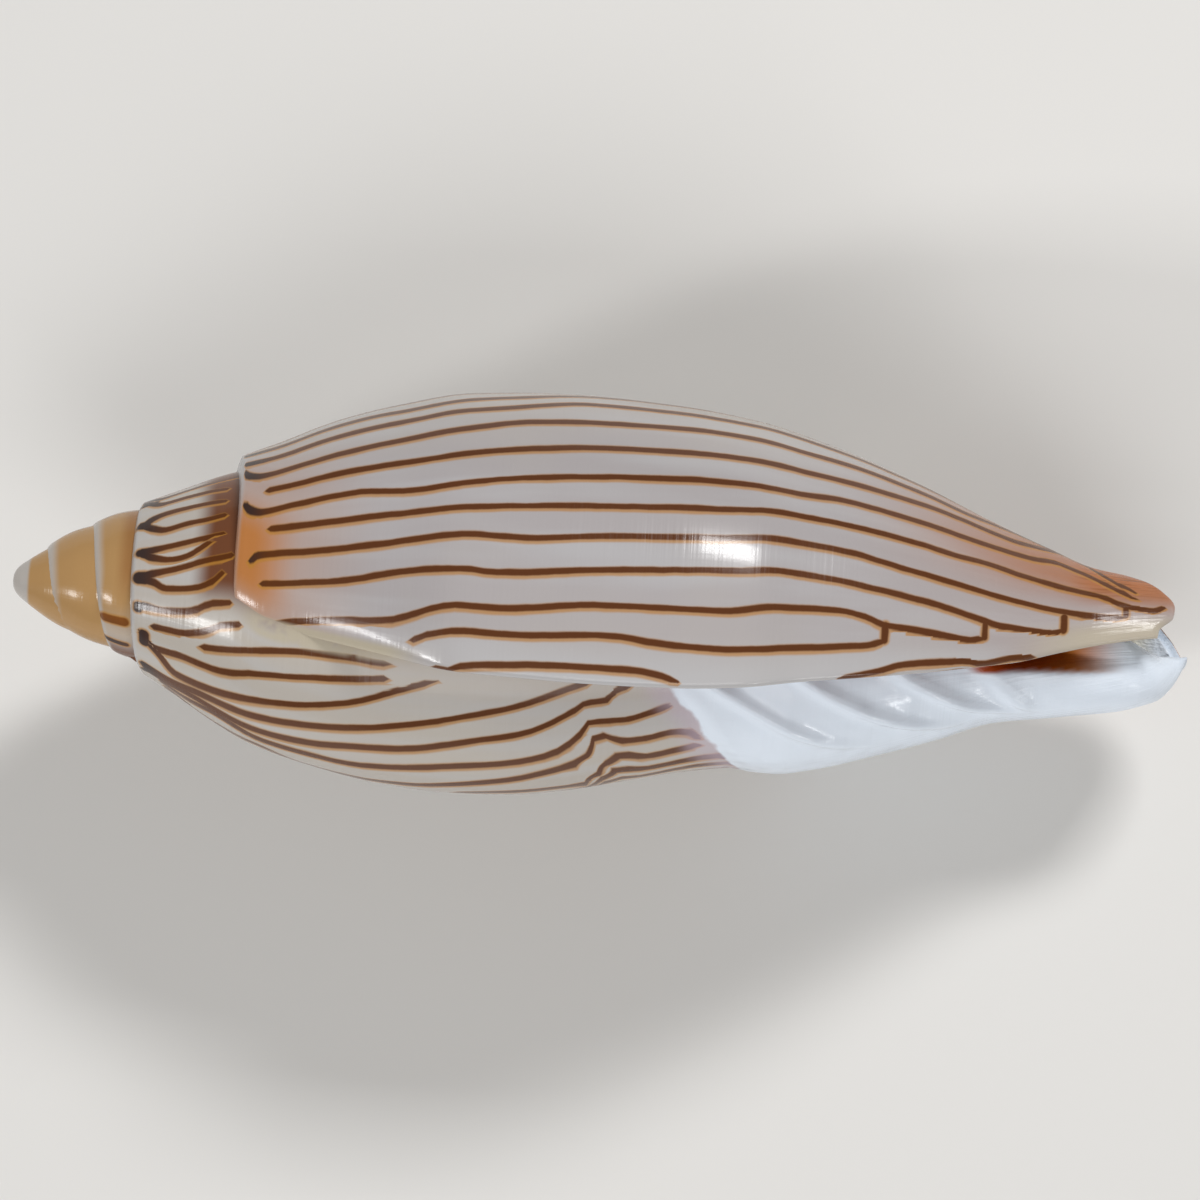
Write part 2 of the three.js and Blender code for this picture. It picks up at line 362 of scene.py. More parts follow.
    def fused(self, along: np.ndarray, turn: np.ndarray, radius: np.ndarray) -> np.ndarray:
        """Lowers the lip's back corner onto the turn beneath it.

        Args:
            along: Places on the axis.
            turn: The turn of each place.
            radius: The radius there.

        Returns:
            The lowered radius.
        """
        share = 1 - smoothstep(along, self.fused_from, self.fused_until)
        share = share * (1 - smoothstep(turn, 0.0, self.fused_turn))
        beneath = self.last_turn_radius(np.maximum(along, 9.0), np.minimum(turn, 0.5) + 1)
        return radius + np.minimum(beneath + self.fused_above - radius, 0) * share

    def on_its_side(self) -> Matrix:
        """Gives the turn that lays the shell on its side, about its middle."""
        middle = Matrix.Translation((self.length / 2, 0, 0))
        roll = Matrix.Rotation(math.radians(self.roll), 4, "X")
        pitch = Matrix.Rotation(math.radians(self.pitch), 4, "Y")
        return middle @ pitch @ roll @ middle.inverted()


@dataclass
class PhotoView:
    """The photograph's view, in its own pixels."""

    width: float = 1200.0
    distance: float = 300.0
    pixels_per_mm: float = 20.3
    slope: float = 3.8
    tip: tuple[float, float] = (13.0, 580.0)
    first_depth: float = 8.0
    rounds: int = 12

    def flat(self, pixels: np.ndarray) -> tuple[np.ndarray, np.ndarray]:
        """Reads pixels on the plane through the axis.

        Args:
            pixels: Rows of x and y.

        Returns:
            The places along the axis and the heights across it.
        """
        right = pixels[..., 0] - self.tip[0]
        down = pixels[..., 1] - self.tip[1]
        cosine = math.cos(math.radians(self.slope))
        sine = math.sin(math.radians(self.slope))
        along = (right * cosine + down * sine) / self.pixels_per_mm
        across = (right * sine - down * cosine) / self.pixels_per_mm
        return along, across

    def centre(self) -> tuple[float, float]:
        """Gives the place along and across the axis at the photograph's middle."""
        along, across = self.flat(np.array([self.width / 2, self.width / 2]))
        return float(along), float(across)

    def on_shell(
        self, form: ShellForm, pixels: np.ndarray, base: int
    ) -> tuple[np.ndarray, np.ndarray]:
        """Finds where pixels of the photograph fall on the shell.

        Args:
            form: The shell's form.
            pixels: Rows of x and y.
            base: 0 for places above the lip, 1 for places below it or on the turn before.

        Returns:
            The places along the axis and their turns.
        """
        flat_along, flat_across = self.flat(pixels)
        middle, across_middle = self.centre()
        depth = np.full_like(flat_along, self.first_depth)
        turn = np.full_like(flat_along, base + 0.1)
        along = flat_along
        for _ in range(self.rounds):
            share = 1 - depth / self.distance
            along = middle + (flat_along - middle) * share
            across = across_middle + (flat_across - across_middle) * share
            radius = form.fused(along, turn, form.radius(along, turn))
            angle = np.degrees(np.arcsin(np.clip(across / radius, -0.999, 0.999)))
            turn = np.maximum(base + (angle - form.lip_angle(along)) / 360, 0.001)
            depth = radius * np.cos(np.radians(angle))
        return along, turn


@dataclass(frozen=True)
class Blot:
    """A spot or short stroke where lines meet or end: its pixel, and its half sizes in mm."""

    pixel: tuple[float, float]
    half_along: float
    half_across: float
    swell: float
    base: int


BLOTS = (
    Blot((885, 633), 0.0, 0.36, 0.02, 0),
    Blot((985, 630), 0.0, 0.36, 0.0, 0),
    Blot((1064, 624), 0.0, 0.34, 0.0, 0),
    Blot((1126, 612), 0.0, 0.2, 0.0, 0),
    Blot((142, 578), 0.16, 0.0, 0.16, 1),
    Blot((143, 553), 0.16, 0.0, 0.06, 1),
    Blot((144, 526), 0.16, 0.0, 0.06, 1),
    Blot((149, 505), 0.35, 0.0, 0.02, 1),
    Blot((138, 607), 0.05, 0.1, 0.02, 1),
    Blot((144, 638), 0.05, 0.25, 0.06, 1),
    Blot((151, 671), 0.25, 0.06, 0.03, 1),
    Blot((114, 620), 0.5, 0.0, 0.08, 2),
    Blot((116, 642), 0.5, 0.0, 0.0, 2),
)


@dataclass
class Stripes:
    """The fine lines that run from the seam to the front.

    Lines are numbered from the lip upwards and round the back. Each keeps its number all
    along, so that a field of numbers can be spread over the surface between them.
    """

    form: ShellForm
    view: PhotoView
    seed: int = 7
    back_lines: int = 19
    hidden_lines: int = 17
    places: int = 1200
    firm: float = 1e4
    letting_go: float = 0.7
    lip_line_end: float = 37.0
    hidden_end: float = 1.76
    ink_start: Zone = (-0.5, 0.2)
    ink_end: Zone = (-0.1, 0.5)
    sways: tuple[tuple[float, float], ...] = ((0.13, 1.0), (0.37, 0.55), (0.9, 0.22), (2.1, 0.08))
    lip_line_front: Points = (
        (838, 680), (880, 671), (900, 665), (941, 662), (966, 661), (980, 664), (994, 662),
        (1013, 658), (1036, 657)
    )
    above_lip: tuple[Points, ...] = (
        ((430, 684), (447, 672), (461, 666), (499, 665), (560, 666), (630, 670), (658, 675),
         (677, 682)),
        ((407, 642), (434, 633), (466, 631), (499, 634), (611, 636), (662, 644), (713, 649),
         (790, 648), (853, 646), (870, 645), (884, 641)),
        ((243, 624), (262, 627), (290, 622), (345, 620), (390, 620), (407, 616), (434, 608),
         (457, 605), (499, 608), (590, 605), (726, 611), (777, 607), (841, 611), (866, 617),
         (884, 625), (921, 631), (947, 636), (970, 640), (984, 638)),
        ((260, 584), (340, 581), (417, 570), (468, 569), (493, 572), (598, 570), (739, 571),
         (790, 572), (841, 581), (880, 590), (931, 603), (980, 619), (1002, 626), (1027, 630),
         (1049, 633), (1063, 631)),
        ((249, 561), (259, 555), (328, 550), (404, 541), (470, 534), (532, 538), (598, 536),
         (713, 538), (790, 541), (853, 553), (880, 561), (927, 575), (994, 595), (1053, 610),
         (1084, 615), (1113, 618), (1125, 617)),
        ((268, 529), (353, 519), (430, 510), (506, 506), (598, 506), (713, 509), (790, 514),
         (855, 527), (906, 540), (951, 554), (988, 564), (1023, 576), (1064, 588), (1100, 596),
         (1125, 606), (1151, 611), (1164, 608)),
        ((243, 505), (252, 511), (263, 512), (289, 506), (353, 493), (417, 490), (506, 479),
         (598, 477), (713, 481), (790, 492), (841, 500), (917, 521), (972, 540), (1033, 559),
         (1060, 564), (1084, 574), (1115, 589), (1137, 600)),
        ((266, 491), (353, 471), (430, 459), (506, 450), (598, 448), (713, 455), (790, 468),
         (892, 495), (958, 518), (1011, 540), (1043, 549), (1074, 560), (1110, 580), (1135, 593)),
        ((241, 472), (250, 476), (263, 476), (302, 465), (379, 445), (455, 430), (532, 422),
         (598, 423), (713, 432), (790, 448), (866, 471), (961, 511), (1043, 546), (1090, 568)),
        ((241, 466), (271, 459), (328, 440), (404, 422), (506, 408), (598, 405), (713, 418),
         (790, 435), (917, 484), (1002, 524)),
    )
    under_lip: tuple[Points, ...] = (
        ((450, 793), (526, 791), (585, 784), (602, 769), (612, 758), (627, 755), (644, 757),
         (677, 750), (700, 745)),
        ((164, 686), (202, 714), (253, 743), (304, 765), (355, 777), (440, 785), (527, 777),
         (585, 759), (595, 737), (606, 736), (623, 741), (644, 739), (672, 732), (690, 732),
         (700, 738)),
        ((160, 681), (176, 692), (215, 714), (266, 742), (330, 760), (381, 767), (440, 767),
         (501, 764), (552, 754), (582, 733), (590, 722), (600, 722), (623, 720), (650, 713),
         (670, 706)),
        ((141, 668), (164, 681), (202, 702), (253, 729), (304, 742), (355, 747), (406, 749),
         (440, 746), (475, 741), (526, 733), (575, 711), (587, 703), (606, 701), (616, 691),
         (630, 686)),
        ((140, 662), (164, 677), (202, 695), (253, 716), (304, 725), (355, 728), (440, 721),
         (513, 708), (575, 687), (590, 682)),
        ((139, 632), (155, 650), (176, 674), (207, 688), (253, 700), (304, 705), (355, 702),
         (398, 691), (436, 681)),
        ((139, 630), (155, 648), (187, 659), (212, 669), (253, 674), (330, 679), (391, 679)),
        ((199, 647), (253, 651), (309, 653), (350, 658), (378, 663), (393, 665)),
    )
    early: tuple[Points, ...] = (
        ((151, 626), (176, 632), (203, 632), (222, 626), (240, 625)),
        ((137, 606), (143, 606), (159, 610), (194, 611), (210, 604), (230, 603)),
        ((137, 579), (144, 580), (152, 582), (166, 589), (194, 588), (212, 582), (224, 572)),
        ((137, 577), (144, 576), (151, 574), (174, 570), (202, 562), (233, 555)),
        ((138, 554), (144, 555), (151, 558), (171, 560), (187, 556), (212, 541)),
        ((138, 552), (144, 552), (154, 550), (176, 545), (202, 539), (224, 534)),
        ((138, 528), (144, 527), (151, 529), (166, 530), (187, 524), (202, 521), (226, 515)),
        ((138, 526), (144, 525), (151, 520), (169, 513), (197, 506), (226, 501)),
        ((140, 505), (164, 504), (189, 497), (228, 489)),
    )

    def held(
        self, pixels: Points, base: int, along: np.ndarray
    ) -> tuple[np.ndarray, np.ndarray]:
        """Lays one line on the shell and reads it everywhere, held level past its ends.

        Args:
            pixels: The line's points.
            base: 0 for a line above the lip, 1 for one below it or on the turn before.
            along: Places on the axis.

        Returns:
            Its turn, and how much ink it has there.
        """
        form = self.form
        place, turn = self.view.on_shell(form, np.array(pixels, dtype=float), base)
        order = np.argsort(place)
        place = place[order]
        angle = form.lip_angle(place) + 360 * turn[order]
        keep = np.concatenate([[True], np.diff(place) > 0.02])
        place = place[keep]
        curve = Curve(list(zip(place, angle[keep])))
        here = curve(np.clip(along, place[0], place[-1]))
        ink = smoothstep(along - place[0], *self.ink_start)
        ink = ink * (1 - smoothstep(along - place[-1], *self.ink_end))
        return (here - form.lip_angle(along)) / 360, ink

    def swaying(self, along: np.ndarray, rng: np.random.Generator, amount: float) -> np.ndarray:
        """Gives a soft random sideways wander.

        Args:
            along: Places on the axis.
            rng: The random numbers.
            amount: How far it wanders.

        Returns:
            The wander at each place.
        """
        wander = np.zeros_like(along)
        for pace, share in self.sways:
            wander += share * np.sin(along * pace * rng.uniform(0.8, 1.2) + rng.uniform(0, 6.28))
        return wander * amount

    def between(
        self, low: np.ndarray, high: np.ndarray, count: int, along: np.ndarray
    ) -> list[tuple[np.ndarray, ...]]:
        """Fills the unseen surface between two lines with wandering lines.

        Args:
            low: The turn of the line before.
            high: The turn of the line after.
            count: How many lines to add.
            along: Places on the axis.

        Returns:
            The lines.
        """
        rng = np.random.default_rng(self.seed + count)
        lines = []
        for k in range(count):
            share = (k + 1 + self.swaying(along, rng, 0.13)) / (count + 1)
            end = rng.uniform(46, 56) if k % 3 == 1 else 60.0
            ink = 1 - smoothstep(along, end - 0.2, end + 0.2)
            lines.append((low + (high - low) * share, ink))
        return lines

    def gathered(self, along: np.ndarray) -> tuple[np.ndarray, np.ndarray]:
        """Gathers every line in order round the shell.

        Args:
            along: Places on the axis.

        Returns:
            The turns of the lines, and their ink.
        """
        places = np.linspace(along.min(), along.max(), self.places)
        above = [self.held(line, 0, places) for line in self.above_lip]
        front, front_ink = self.held(self.lip_line_front, 0, places)
        first, first_ink = above[0]
        above[0] = (np.where(places < self.lip_line_end, first, front), first_ink + front_ink)
        under = [self.held(line, 1, places) for line in self.under_lip]
        early = [self.held(line, 1, places) for line in self.early]
        back = self.between(above[-1][0], under[0][0], self.back_lines, places)
        last = np.full_like(places, self.hidden_end)
        hidden = self.between(early[-1][0], last, self.hidden_lines, places)
        lines = above + back + under + early + hidden
        inks = np.stack([line[1] for line in lines])
        turns = self.yielding(np.stack([line[0] for line in lines]), inks, places)
        turns = np.stack([np.interp(along, places, line) for line in turns])
        inks = np.stack([np.interp(along, places, line) for line in inks])
        return turns, inks

    def yielding(
        self, turns: np.ndarray, inks: np.ndarray, places: np.ndarray
    ) -> np.ndarray:
        """Lets the lines drift evenly apart where they have no ink, like beads on a spring.

        Args:
            turns: The turn of each line at every place.
            inks: Their ink.
            places: The places on the axis.

        Returns:
            The turns in rising order.
        """
        count = len(turns)
        firmness = np.empty_like(turns)
        for k in range(count):
            inked = places[inks[k] > 0.01]
            outside = np.maximum(inked.min() - places, places - inked.max()).clip(0)
            firmness[k] = self.firm * 10 ** (-7 * outside / self.letting_go)
        firmness[[0, -1]] = self.firm
        index = np.arange(count)
        pulls = np.zeros((len(places), count, count))
        pulls[:, index[1:], index[:-1]] -= 1
        pulls[:, index[:-1], index[1:]] -= 1
        pulls[:, index, index] = 2 + firmness.T
        pulls[:, [0, -1], [0, -1]] -= 1
        settled = np.linalg.solve(pulls, (firmness * turns).T[..., None])[..., 0].T
        return np.maximum.accumulate(settled, axis=0) + index[:, None] * 1e-5

    def spread(
        self, along: np.ndarray, turn: np.ndarray, radius: np.ndarray
    ) -> tuple[np.ndarray, ...]:
        """Numbers the surface between the lines.

        Args:
            along: The place of each vertex, by column and row.
            turn: Its turn.
            radius: Its radius.

        Returns:
            The line number at each vertex, the gap between its two lines, and their ink.
        """
        turns, inks = self.gathered(along)
        angles = np.radians(self.form.lip_angle(along) + 360 * turns)
        steps = np.maximum(np.gradient(along, axis=1), 1e-6)
        slopes = np.gradient(angles, axis=2) / steps * radius
        cosines = 1 / np.sqrt(1 + slopes**2)
        gaps = np.diff(turns, axis=0)
        rates = 2 / (np.concatenate([gaps[:1], gaps]) + np.concatenate([gaps, gaps[-1:]]))
        number = (turn - turns[0]) * rates[0]
        rate = rates[0].copy()
        ink = inks[0].copy()
        cosine = cosines[0].copy()
        for k in range(len(turns) - 1):
            share = (turn - turns[k]) / gaps[k]
            within = (share >= 0) & (share < 1)
            first = rates[k] * gaps[k]
            last = rates[k + 1] * gaps[k]
            bend = first + last - 2
            lean = 3 - 2 * first - last
            here = k + share * (first + share * (lean + share * bend))
            pace = (first + share * (2 * lean + share * 3 * bend)) / gaps[k]
            blend = smoothstep(share, 0.45, 0.55)
            number = np.where(within, here, number)
            rate = np.where(within, pace, rate)
            cosine = np.where(within, cosines[k] + (cosines[k + 1] - cosines[k]) * blend, cosine)
            ink = np.where(within, inks[k] + (inks[k + 1] - inks[k]) * blend, ink)
        past = turn >= turns[-1]
        number = np.where(past, len(turns) - 0.5, number)
        gap = 2 * np.pi * radius * cosine / np.maximum(rate, 1.0)
        return number, gap, np.where(past, 0.0, ink)


class Value:
    """A number that varies over a surface, from one socket of a material's nodes."""

    def __init__(self, tree: "Nodes", socket: Any) -> None:
        """Keeps the socket and the nodes it belongs to.

        Args:
            tree: The nodes of the material.
            socket: The output socket that gives the number.
        """
        self.tree = tree
        self.socket = socket

    def with_math(self, operation: str, *others: Any) -> "Value":
        """Adds a Math node on this number.

        Args:
            operation: The node's operation.
            others: The numbers that follow this one.

        Returns:
            The result.
        """
        values = {i: v for i, v in enumerate((self, *others))}
        return Value(self.tree, self.tree.add("ShaderNodeMath", {"operation": operation}, values))

    def __add__(self, other: Any) -> "Value":
        """Adds a number."""
        return self.with_math("ADD", other)

    __radd__ = __add__

    def __mul__(self, other: Any) -> "Value":
        """Multiplies by a number."""
        return self.with_math("MULTIPLY", other)

    __rmul__ = __mul__

    def __sub__(self, other: Any) -> "Value":
        """Takes a number away."""
        return self.with_math("SUBTRACT", other)

    def __rsub__(self, other: Any) -> "Value":
        """Takes this from a number."""
        return self.tree.number(other).with_math("SUBTRACT", self)

    def __truediv__(self, other: Any) -> "Value":
        """Divides by a number."""
        return self.with_math("DIVIDE", other)

    def __abs__(self) -> "Value":
        """Drops the sign."""
        return self.with_math("ABSOLUTE")

    def rise(self, low: Any, high: Any) -> "Value":
        """Rises smoothly from 0 at low to 1 at high."""
        settings = {"interpolation_type": "SMOOTHSTEP"}
        sockets = {"Value": self, "From Min": low, "From Max": high}
        return Value(self.tree, self.tree.add("ShaderNodeMapRange", settings, sockets))

    def within(self, start: Zone, end: Zone) -> "Value":
        """Rises from 0 to 1 over one zone, and falls back over the next."""
        return self.rise(*start) - self.rise(*end)


class Nodes:
    """The nodes of one material."""

    def __init__(self, name: str) -> None:
        """Starts a material with only its shader and output.

        Args:
            name: The material's name.
        """
        self.material = bpy.data.materials.new(name)
        self.material.use_nodes = True
        self.links = self.material.node_tree.links
        self.nodes = self.material.node_tree.nodes
        self.shader = next(n for n in self.nodes if n.type == "BSDF_PRINCIPLED")

    def add(self, kind: str, settings: dict[str, Any], sockets: dict[Any, Any]) -> Any:
        """Adds one node.

        Args:
            kind: The node's type.
            settings: Its properties, set before its sockets.
            sockets: Values or links by socket name or number.

        Returns:
            Its first output that is switched on.
        """
        node = self.nodes.new(kind)
        for name, value in settings.items():
            setattr(node, name, value)
        for name, value in sockets.items():
            socket = self.socket(node, name)
            if isinstance(value, Value):
                self.links.new(value.socket, socket)
            elif isinstance(value, bpy.types.NodeSocket):
                self.links.new(value, socket)
            elif isinstance(value, tuple) and len(value) == 3 and socket.type == "RGBA":
                socket.default_value = (*value, 1.0)
            else:
                socket.default_value = value
        return next(o for o in node.outputs if o.enabled)

    @staticmethod
    def socket(node: Any, name: Any) -> Any:
        """Finds an input that is switched on, by its name or number."""
        if isinstance(name, int):
            return node.inputs[name]
        return next(s for s in node.inputs if s.name == name and s.enabled)

    def number(self, value: float) -> Value:
        """Gives a plain number as a Value."""
        return Value(self, self.add("ShaderNodeMath", {"operation": "ADD"}, {0: value, 1: 0.0}))

    def attribute(self, name: str) -> Value:
        """Reads a number that the mesh keeps at each vertex."""
        node = self.nodes.new("ShaderNodeAttribute")
        node.attribute_name = name
        return Value(self, node.outputs["Fac"])

    def place(self, scale: tuple[float, float, float]) -> Any:
        """Gives Object coordinates, scaled.

        Args:
            scale: The factor for each direction.

        Returns:
            The vector socket.
        """
        node = self.nodes.new("ShaderNodeTexCoord")
        sockets = {"Vector": node.outputs["Object"], "Scale": scale}
        return self.add("ShaderNodeMapping", {"vector_type": "POINT"}, sockets)

    def combined(self, x: Any, y: Any, z: Any) -> Any:
        """Makes a vector of three numbers."""
        return self.add("ShaderNodeCombineXYZ", {}, {"X": x, "Y": y, "Z": z})

    def noise(self, vector: Any, scale: float, detail: float = 3.0) -> Value:
        """Gives a soft random pattern around one half."""
        sockets = {"Vector": vector, "Scale": scale, "Detail": detail}
        return Value(self, self.add("ShaderNodeTexNoise", {}, sockets))

    def mixed(self, share: Any, first: Any, second: Any) -> Any:
        """Mixes two colours.

        Args:
            share: How much of the second.
            first: The first colour, as numbers or a socket.
            second: The second colour.

        Returns:
            The mixed colour's socket.
        """
        settings = {"data_type": "RGBA", "blend_type": "MIX", "clamp_factor": True}
        return self.add("ShaderNodeMix", settings, {"Factor": share, "A": first, "B": second})


@dataclass(frozen=True)
class Reading:
    """What the finish reads at each point of the surface, in millimetres and turns."""

    nodes: Nodes
    along: Value
    turn: Value
    seam: Value
    place: Any


@dataclass(frozen=True)
class Porcelain:
    """The glossy striped shell finish, with linear colours and sizes in millimetres.

    A zone is where something rises from nothing to full, in millimetres along the axis, or
    in turns where its name says so.
    """

    form: ShellForm
    view: PhotoView
    lilac: Colour = (0.39, 0.362, 0.365)
    cream: Colour = (0.47, 0.43, 0.38)
    tan: Colour = (0.36, 0.16, 0.085)
    blush: Colour = (0.45, 0.165, 0.03)
    amber: Colour = (0.4, 0.12, 0.022)
    white: Colour = (0.7, 0.765, 0.85)
    pearl: Colour = (0.47, 0.47, 0.48)
    shelf: Colour = (0.47, 0.415, 0.31)
    ivory: Colour = (0.72, 0.7, 0.6)
    caramel: Colour = (0.4, 0.235, 0.095)
    chalk: Colour = (0.43, 0.4, 0.37)
    rust: Colour = (0.2, 0.06, 0.008)
    # Deep brown partly a real stain and partly painted shade under the overlapping turn's step.
    stain_and_shade: Colour = (0.13, 0.034, 0.004)
    inner: Colour = (0.3, 0.045, 0.005)
    glow: Colour = (0.5, 0.17, 0.03)
    line_core: Colour = (0.078, 0.018, 0.003)
    line_edge: Colour = (0.42, 0.19, 0.03)
    line_blue: Colour = (0.012, 0.008, 0.014)
    mauve: Colour = (0.5, 0.42, 0.5)
    line_half: float = 0.175
    fringe_half: float = 0.32
    fringe_drop: float = 0.07
    glossy: float = 0.17
    cloudy: float = 0.08
    worn: float = 0.35
    refraction: float = 1.45
    specular: float = 0.24
    coat: float = 0.1
    coat_rough: float = 0.09
    bump: float = 0.5
    bump_depth: float = 0.00006
    cream_turn: float = 0.1
    cream_turns: Zone = (0.03, 0.22)
    bands_seen: Zone = (0.42, 0.7)
    tan_zone: Zone = (39.0, 53.0)
    tan_turns: Zone = (0.07, 0.15)
    tan_lean: Zone = (50.0, 57.0)
    tan_lean_turn: float = 0.04
    amber_zone: Zone = (51.4, 53.4)
    amber_turns: Zone = (0.07, 0.16)
    worn_zone: Zone = (51.5, 54.5)
    worn_turns: Zone = (0.18, 0.3)
    worn_last_turns: Zone = (0.62, 0.8)
    streaks_seen: Zone = (0.5, 0.6)
    shoulder: float = 11.6
    shoulder_reach: Zone = (0.4, 3.0)
    shoulder_turn: float = 0.065
    shoulder_turns: Zone = (0.02, 0.075)
    blush_end: Zone = (12.0, 19.0)
    blush_last_turns: Zone = (0.1, 0.26)
    stain_and_shade_reach: Zone = (1.0, 2.2)
    stain_and_shade_turns: Zone = (0.985, 1.03)
    stain_and_shade_last_turns: Zone = (1.8, 1.9)
    rust_reach: Zone = (0.1, 0.9)
    rust_last_turns: Zone = (2.5, 2.7)
    chalk_turns: Zone = (0.9, 1.4)
    rim_half: float = 0.14
    rim_turns: Zone = (0.1, 0.2)
    wide_rim_turns: Zone = (0.14, 0.24)
    wide_rim_last_turns: Zone = (0.5, 0.7)
    point_end: Zone = (0.75, 0.95)
    line_start: Zone = (0.5, 1.9)
    upper_side_turns: Zone = (0.1, 0.28)
    upper_side_last_turns: Zone = (0.34, 0.5)
    lower_side_turns: Zone = (0.6, 0.76)
    lower_side_last_turns: Zone = (0.84, 0.95)
    rust_line_turns: Zone = (1.85, 1.95)
    lip_turns: Zone = (0.008, 0.035)
    front_lip_turns: Zone = (0.02, 0.06)
    corner_turns: Zone = (0.006, 0.013)
    beneath_turns: Zone = (0.984, 0.992)
    beneath_last_turns: Zone = (1.0, 1.02)
    mauve_reach: Zone = (-2.2, -0.2)
    white_reach: Zone = (-0.12, 0.16)
    ridged_zone: Zone = (38.0, 50.0)
    band_start: Zone = (19.0, 24.0)
    band_end: Zone = (47.0, 50.0)
    front_lip_zone: Zone = (48.0, 53.0)
    corner_start: Zone = (11.4, 12.8)
    corner_end: Zone = (18.6, 21.0)
    channel_end: Zone = (52.0, 55.0)
    glow_zone: Zone = (49.0, 53.0)
    ivory_zone: Zone = (52.0, 54.5)
    white_zone: Zone = (55.5, 57.0)
    caramel_turns: Zone = (1.84, 1.98)
    rust_turns: Zone = (1.95, 2.05)

    def material(self) -> Any:
        """Builds the material.

        Returns:
            The finished material.
        """
        nodes = Nodes("shell_porcelain")
        numbers = [nodes.attribute(name) for name in ("along", "turn", "from_seam")]
        at = Reading(nodes, *numbers, nodes.place((1000.0, 1000.0, 1000.0)))
        colour = self.ground(at)
        for layer in (self.early, self.lip, self.lines, self.corner, self.glaze, self.inside):
            colour = layer(at, colour)
        nodes.links.new(colour, nodes.shader.inputs["Base Color"])
        self.surface(at)
        return nodes.material

    def surface(self, at: Reading) -> None:
        """Sets the gloss and the fine relief: growth ridges, threads, worn front and glaze.

        Args:
            at: What is read at each point.
        """
        nodes, along, turn = at.nodes, at.along, at.turn
        shader = nodes.shader
        worn = along.rise(*self.worn_zone) * turn.within(self.worn_turns, self.worn_last_turns)
        rough = self.glossy + self.cloudy * nodes.noise(at.place, 0.6) + self.worn * worn
        nodes.links.new(rough.socket, shader.inputs["Roughness"])
        shader.inputs["IOR"].default_value = self.refraction
        shader.inputs["Specular IOR Level"].default_value = self.specular
        shader.inputs["Coat Weight"].default_value = self.coat
        shader.inputs["Coat Roughness"].default_value = self.coat_rough
        growth = nodes.noise(nodes.combined(along * 0.12, turn * 150.0, 0.0), 1.0, 4.0)
        threads = nodes.noise(nodes.combined(along * 4.0, turn * 1.5, 3.0), 1.0, 3.0)
        height = growth * (0.25 + 0.9 * along.rise(*self.ridged_zone)) + threads * 0.6
        height = height + nodes.noise(at.place, 2.2, 4.0) * worn * 6.0
        glazed = nodes.attribute("glaze_edge").rise(0.0, 1.0)
        height = height + nodes.noise(at.place, 0.5, 1.0) * glazed * 7.0
        sockets = {"Strength": self.bump, "Distance": self.bump_depth, "Height": height}
        bump = nodes.add("ShaderNodeBump", {}, sockets)
        nodes.links.new(bump, shader.inputs["Normal"])

    def ground(self, at: Reading) -> Any:
        """Mixes the ground colour under the lines.

        Args:
            at: What is read at each point.

        Returns:
            The colour's socket.
        """
        nodes, along, turn = at.nodes, at.along, at.turn
        cloud = nodes.noise(at.place, 0.11, 3.0) - 0.5
        warm = abs(turn - self.cream_turn).rise(*self.cream_turns)
        colour = nodes.mixed(warm * 0.9 + cloud * 0.9, self.lilac, self.cream)
        bands = nodes.noise(nodes.combined(turn * 26.0, along * 0.05, 0.0), 1.0, 3.0)
        colour = nodes.mixed(bands.rise(*self.bands_seen) * 0.5, colour, self.pearl)
        above = turn + along.rise(*self.tan_lean) * self.tan_lean_turn
        front = along.rise(*self.tan_zone) * (0.15 + 0.85 * above.rise(*self.tan_turns))
        colour = nodes.mixed(front, colour, self.tan)
        worn = turn.within(self.amber_turns, self.worn_last_turns)
        worn = along.rise(*self.amber_zone) * worn
        colour = nodes.mixed(worn * (0.9 + cloud * 1.2), colour, self.amber)
        streaks = nodes.noise(nodes.combined(along * 0.5, turn * 170.0, 5.0), 1.0, 2.0)
        return nodes.mixed(worn * streaks.rise(*self.streaks_seen) * 0.7, colour, self.rust)

    def early(self, at: Reading, colour: Any) -> Any:
        """Adds the blush at the shoulder, the colours of the early turns and the painted shade
        beside their seams.

        Args:
            at: What is read at each point.
            colour: The colour underneath.

        Returns:
            The colour's socket.
        """
        nodes, along, turn = at.nodes, at.along, at.turn
        high = 1 - abs(turn - self.shoulder_turn).rise(*self.shoulder_turns)
        wide = 1 - abs(along - self.shoulder).rise(*self.shoulder_reach)
        colour = nodes.mixed(high * wide * 0.9, colour, self.blush)
        soft = (1 - turn.rise(*self.blush_last_turns)) * (1 - along.rise(*self.blush_end))
        colour = nodes.mixed(soft * 0.35, colour, self.blush)
        shaded = nodes.attribute("before_edge")
        # Painted shade with a real stain: deep brown on the turn before, darkest next to the edge
        # of the turn that overlaps it, where its step casts shade.
        stain_and_shade = (1 - shaded.rise(*self.stain_and_shade_reach)) * turn.rise(*self.stain_and_shade_turns)
        stain_and_shade = stain_and_shade * (1 - turn.rise(*self.stain_and_shade_last_turns))
        colour = nodes.mixed(stain_and_shade * 0.95, colour, self.stain_and_shade)
        colour = nodes.mixed(turn.rise(*self.caramel_turns), colour, self.caramel)
        grown = (1 - shaded.rise(*self.rust_reach)) * turn.rise(*self.rust_turns)
        grown = grown * (1 - turn.rise(*self.rust_last_turns))
        colour = nodes.mixed(grown * 0.5, colour, self.rust)
        near = nodes.mixed(turn.rise(*self.chalk_turns), self.pearl, self.chalk)
        high = turn.within(self.wide_rim_turns, self.wide_rim_last_turns)
        reach = 0.36 + 0.2 * high + 0.3 * turn.rise(*self.rust_turns)
        rim = 1 - at.seam.rise(self.rim_half, reach)
        rim = rim * (0.25 + 0.75 * turn.rise(*self.rim_turns))
        colour = nodes.mixed(rim * 0.9, colour, near)
        point = 1 - along.rise(*self.point_end)
        return nodes.mixed(point, colour, self.chalk)

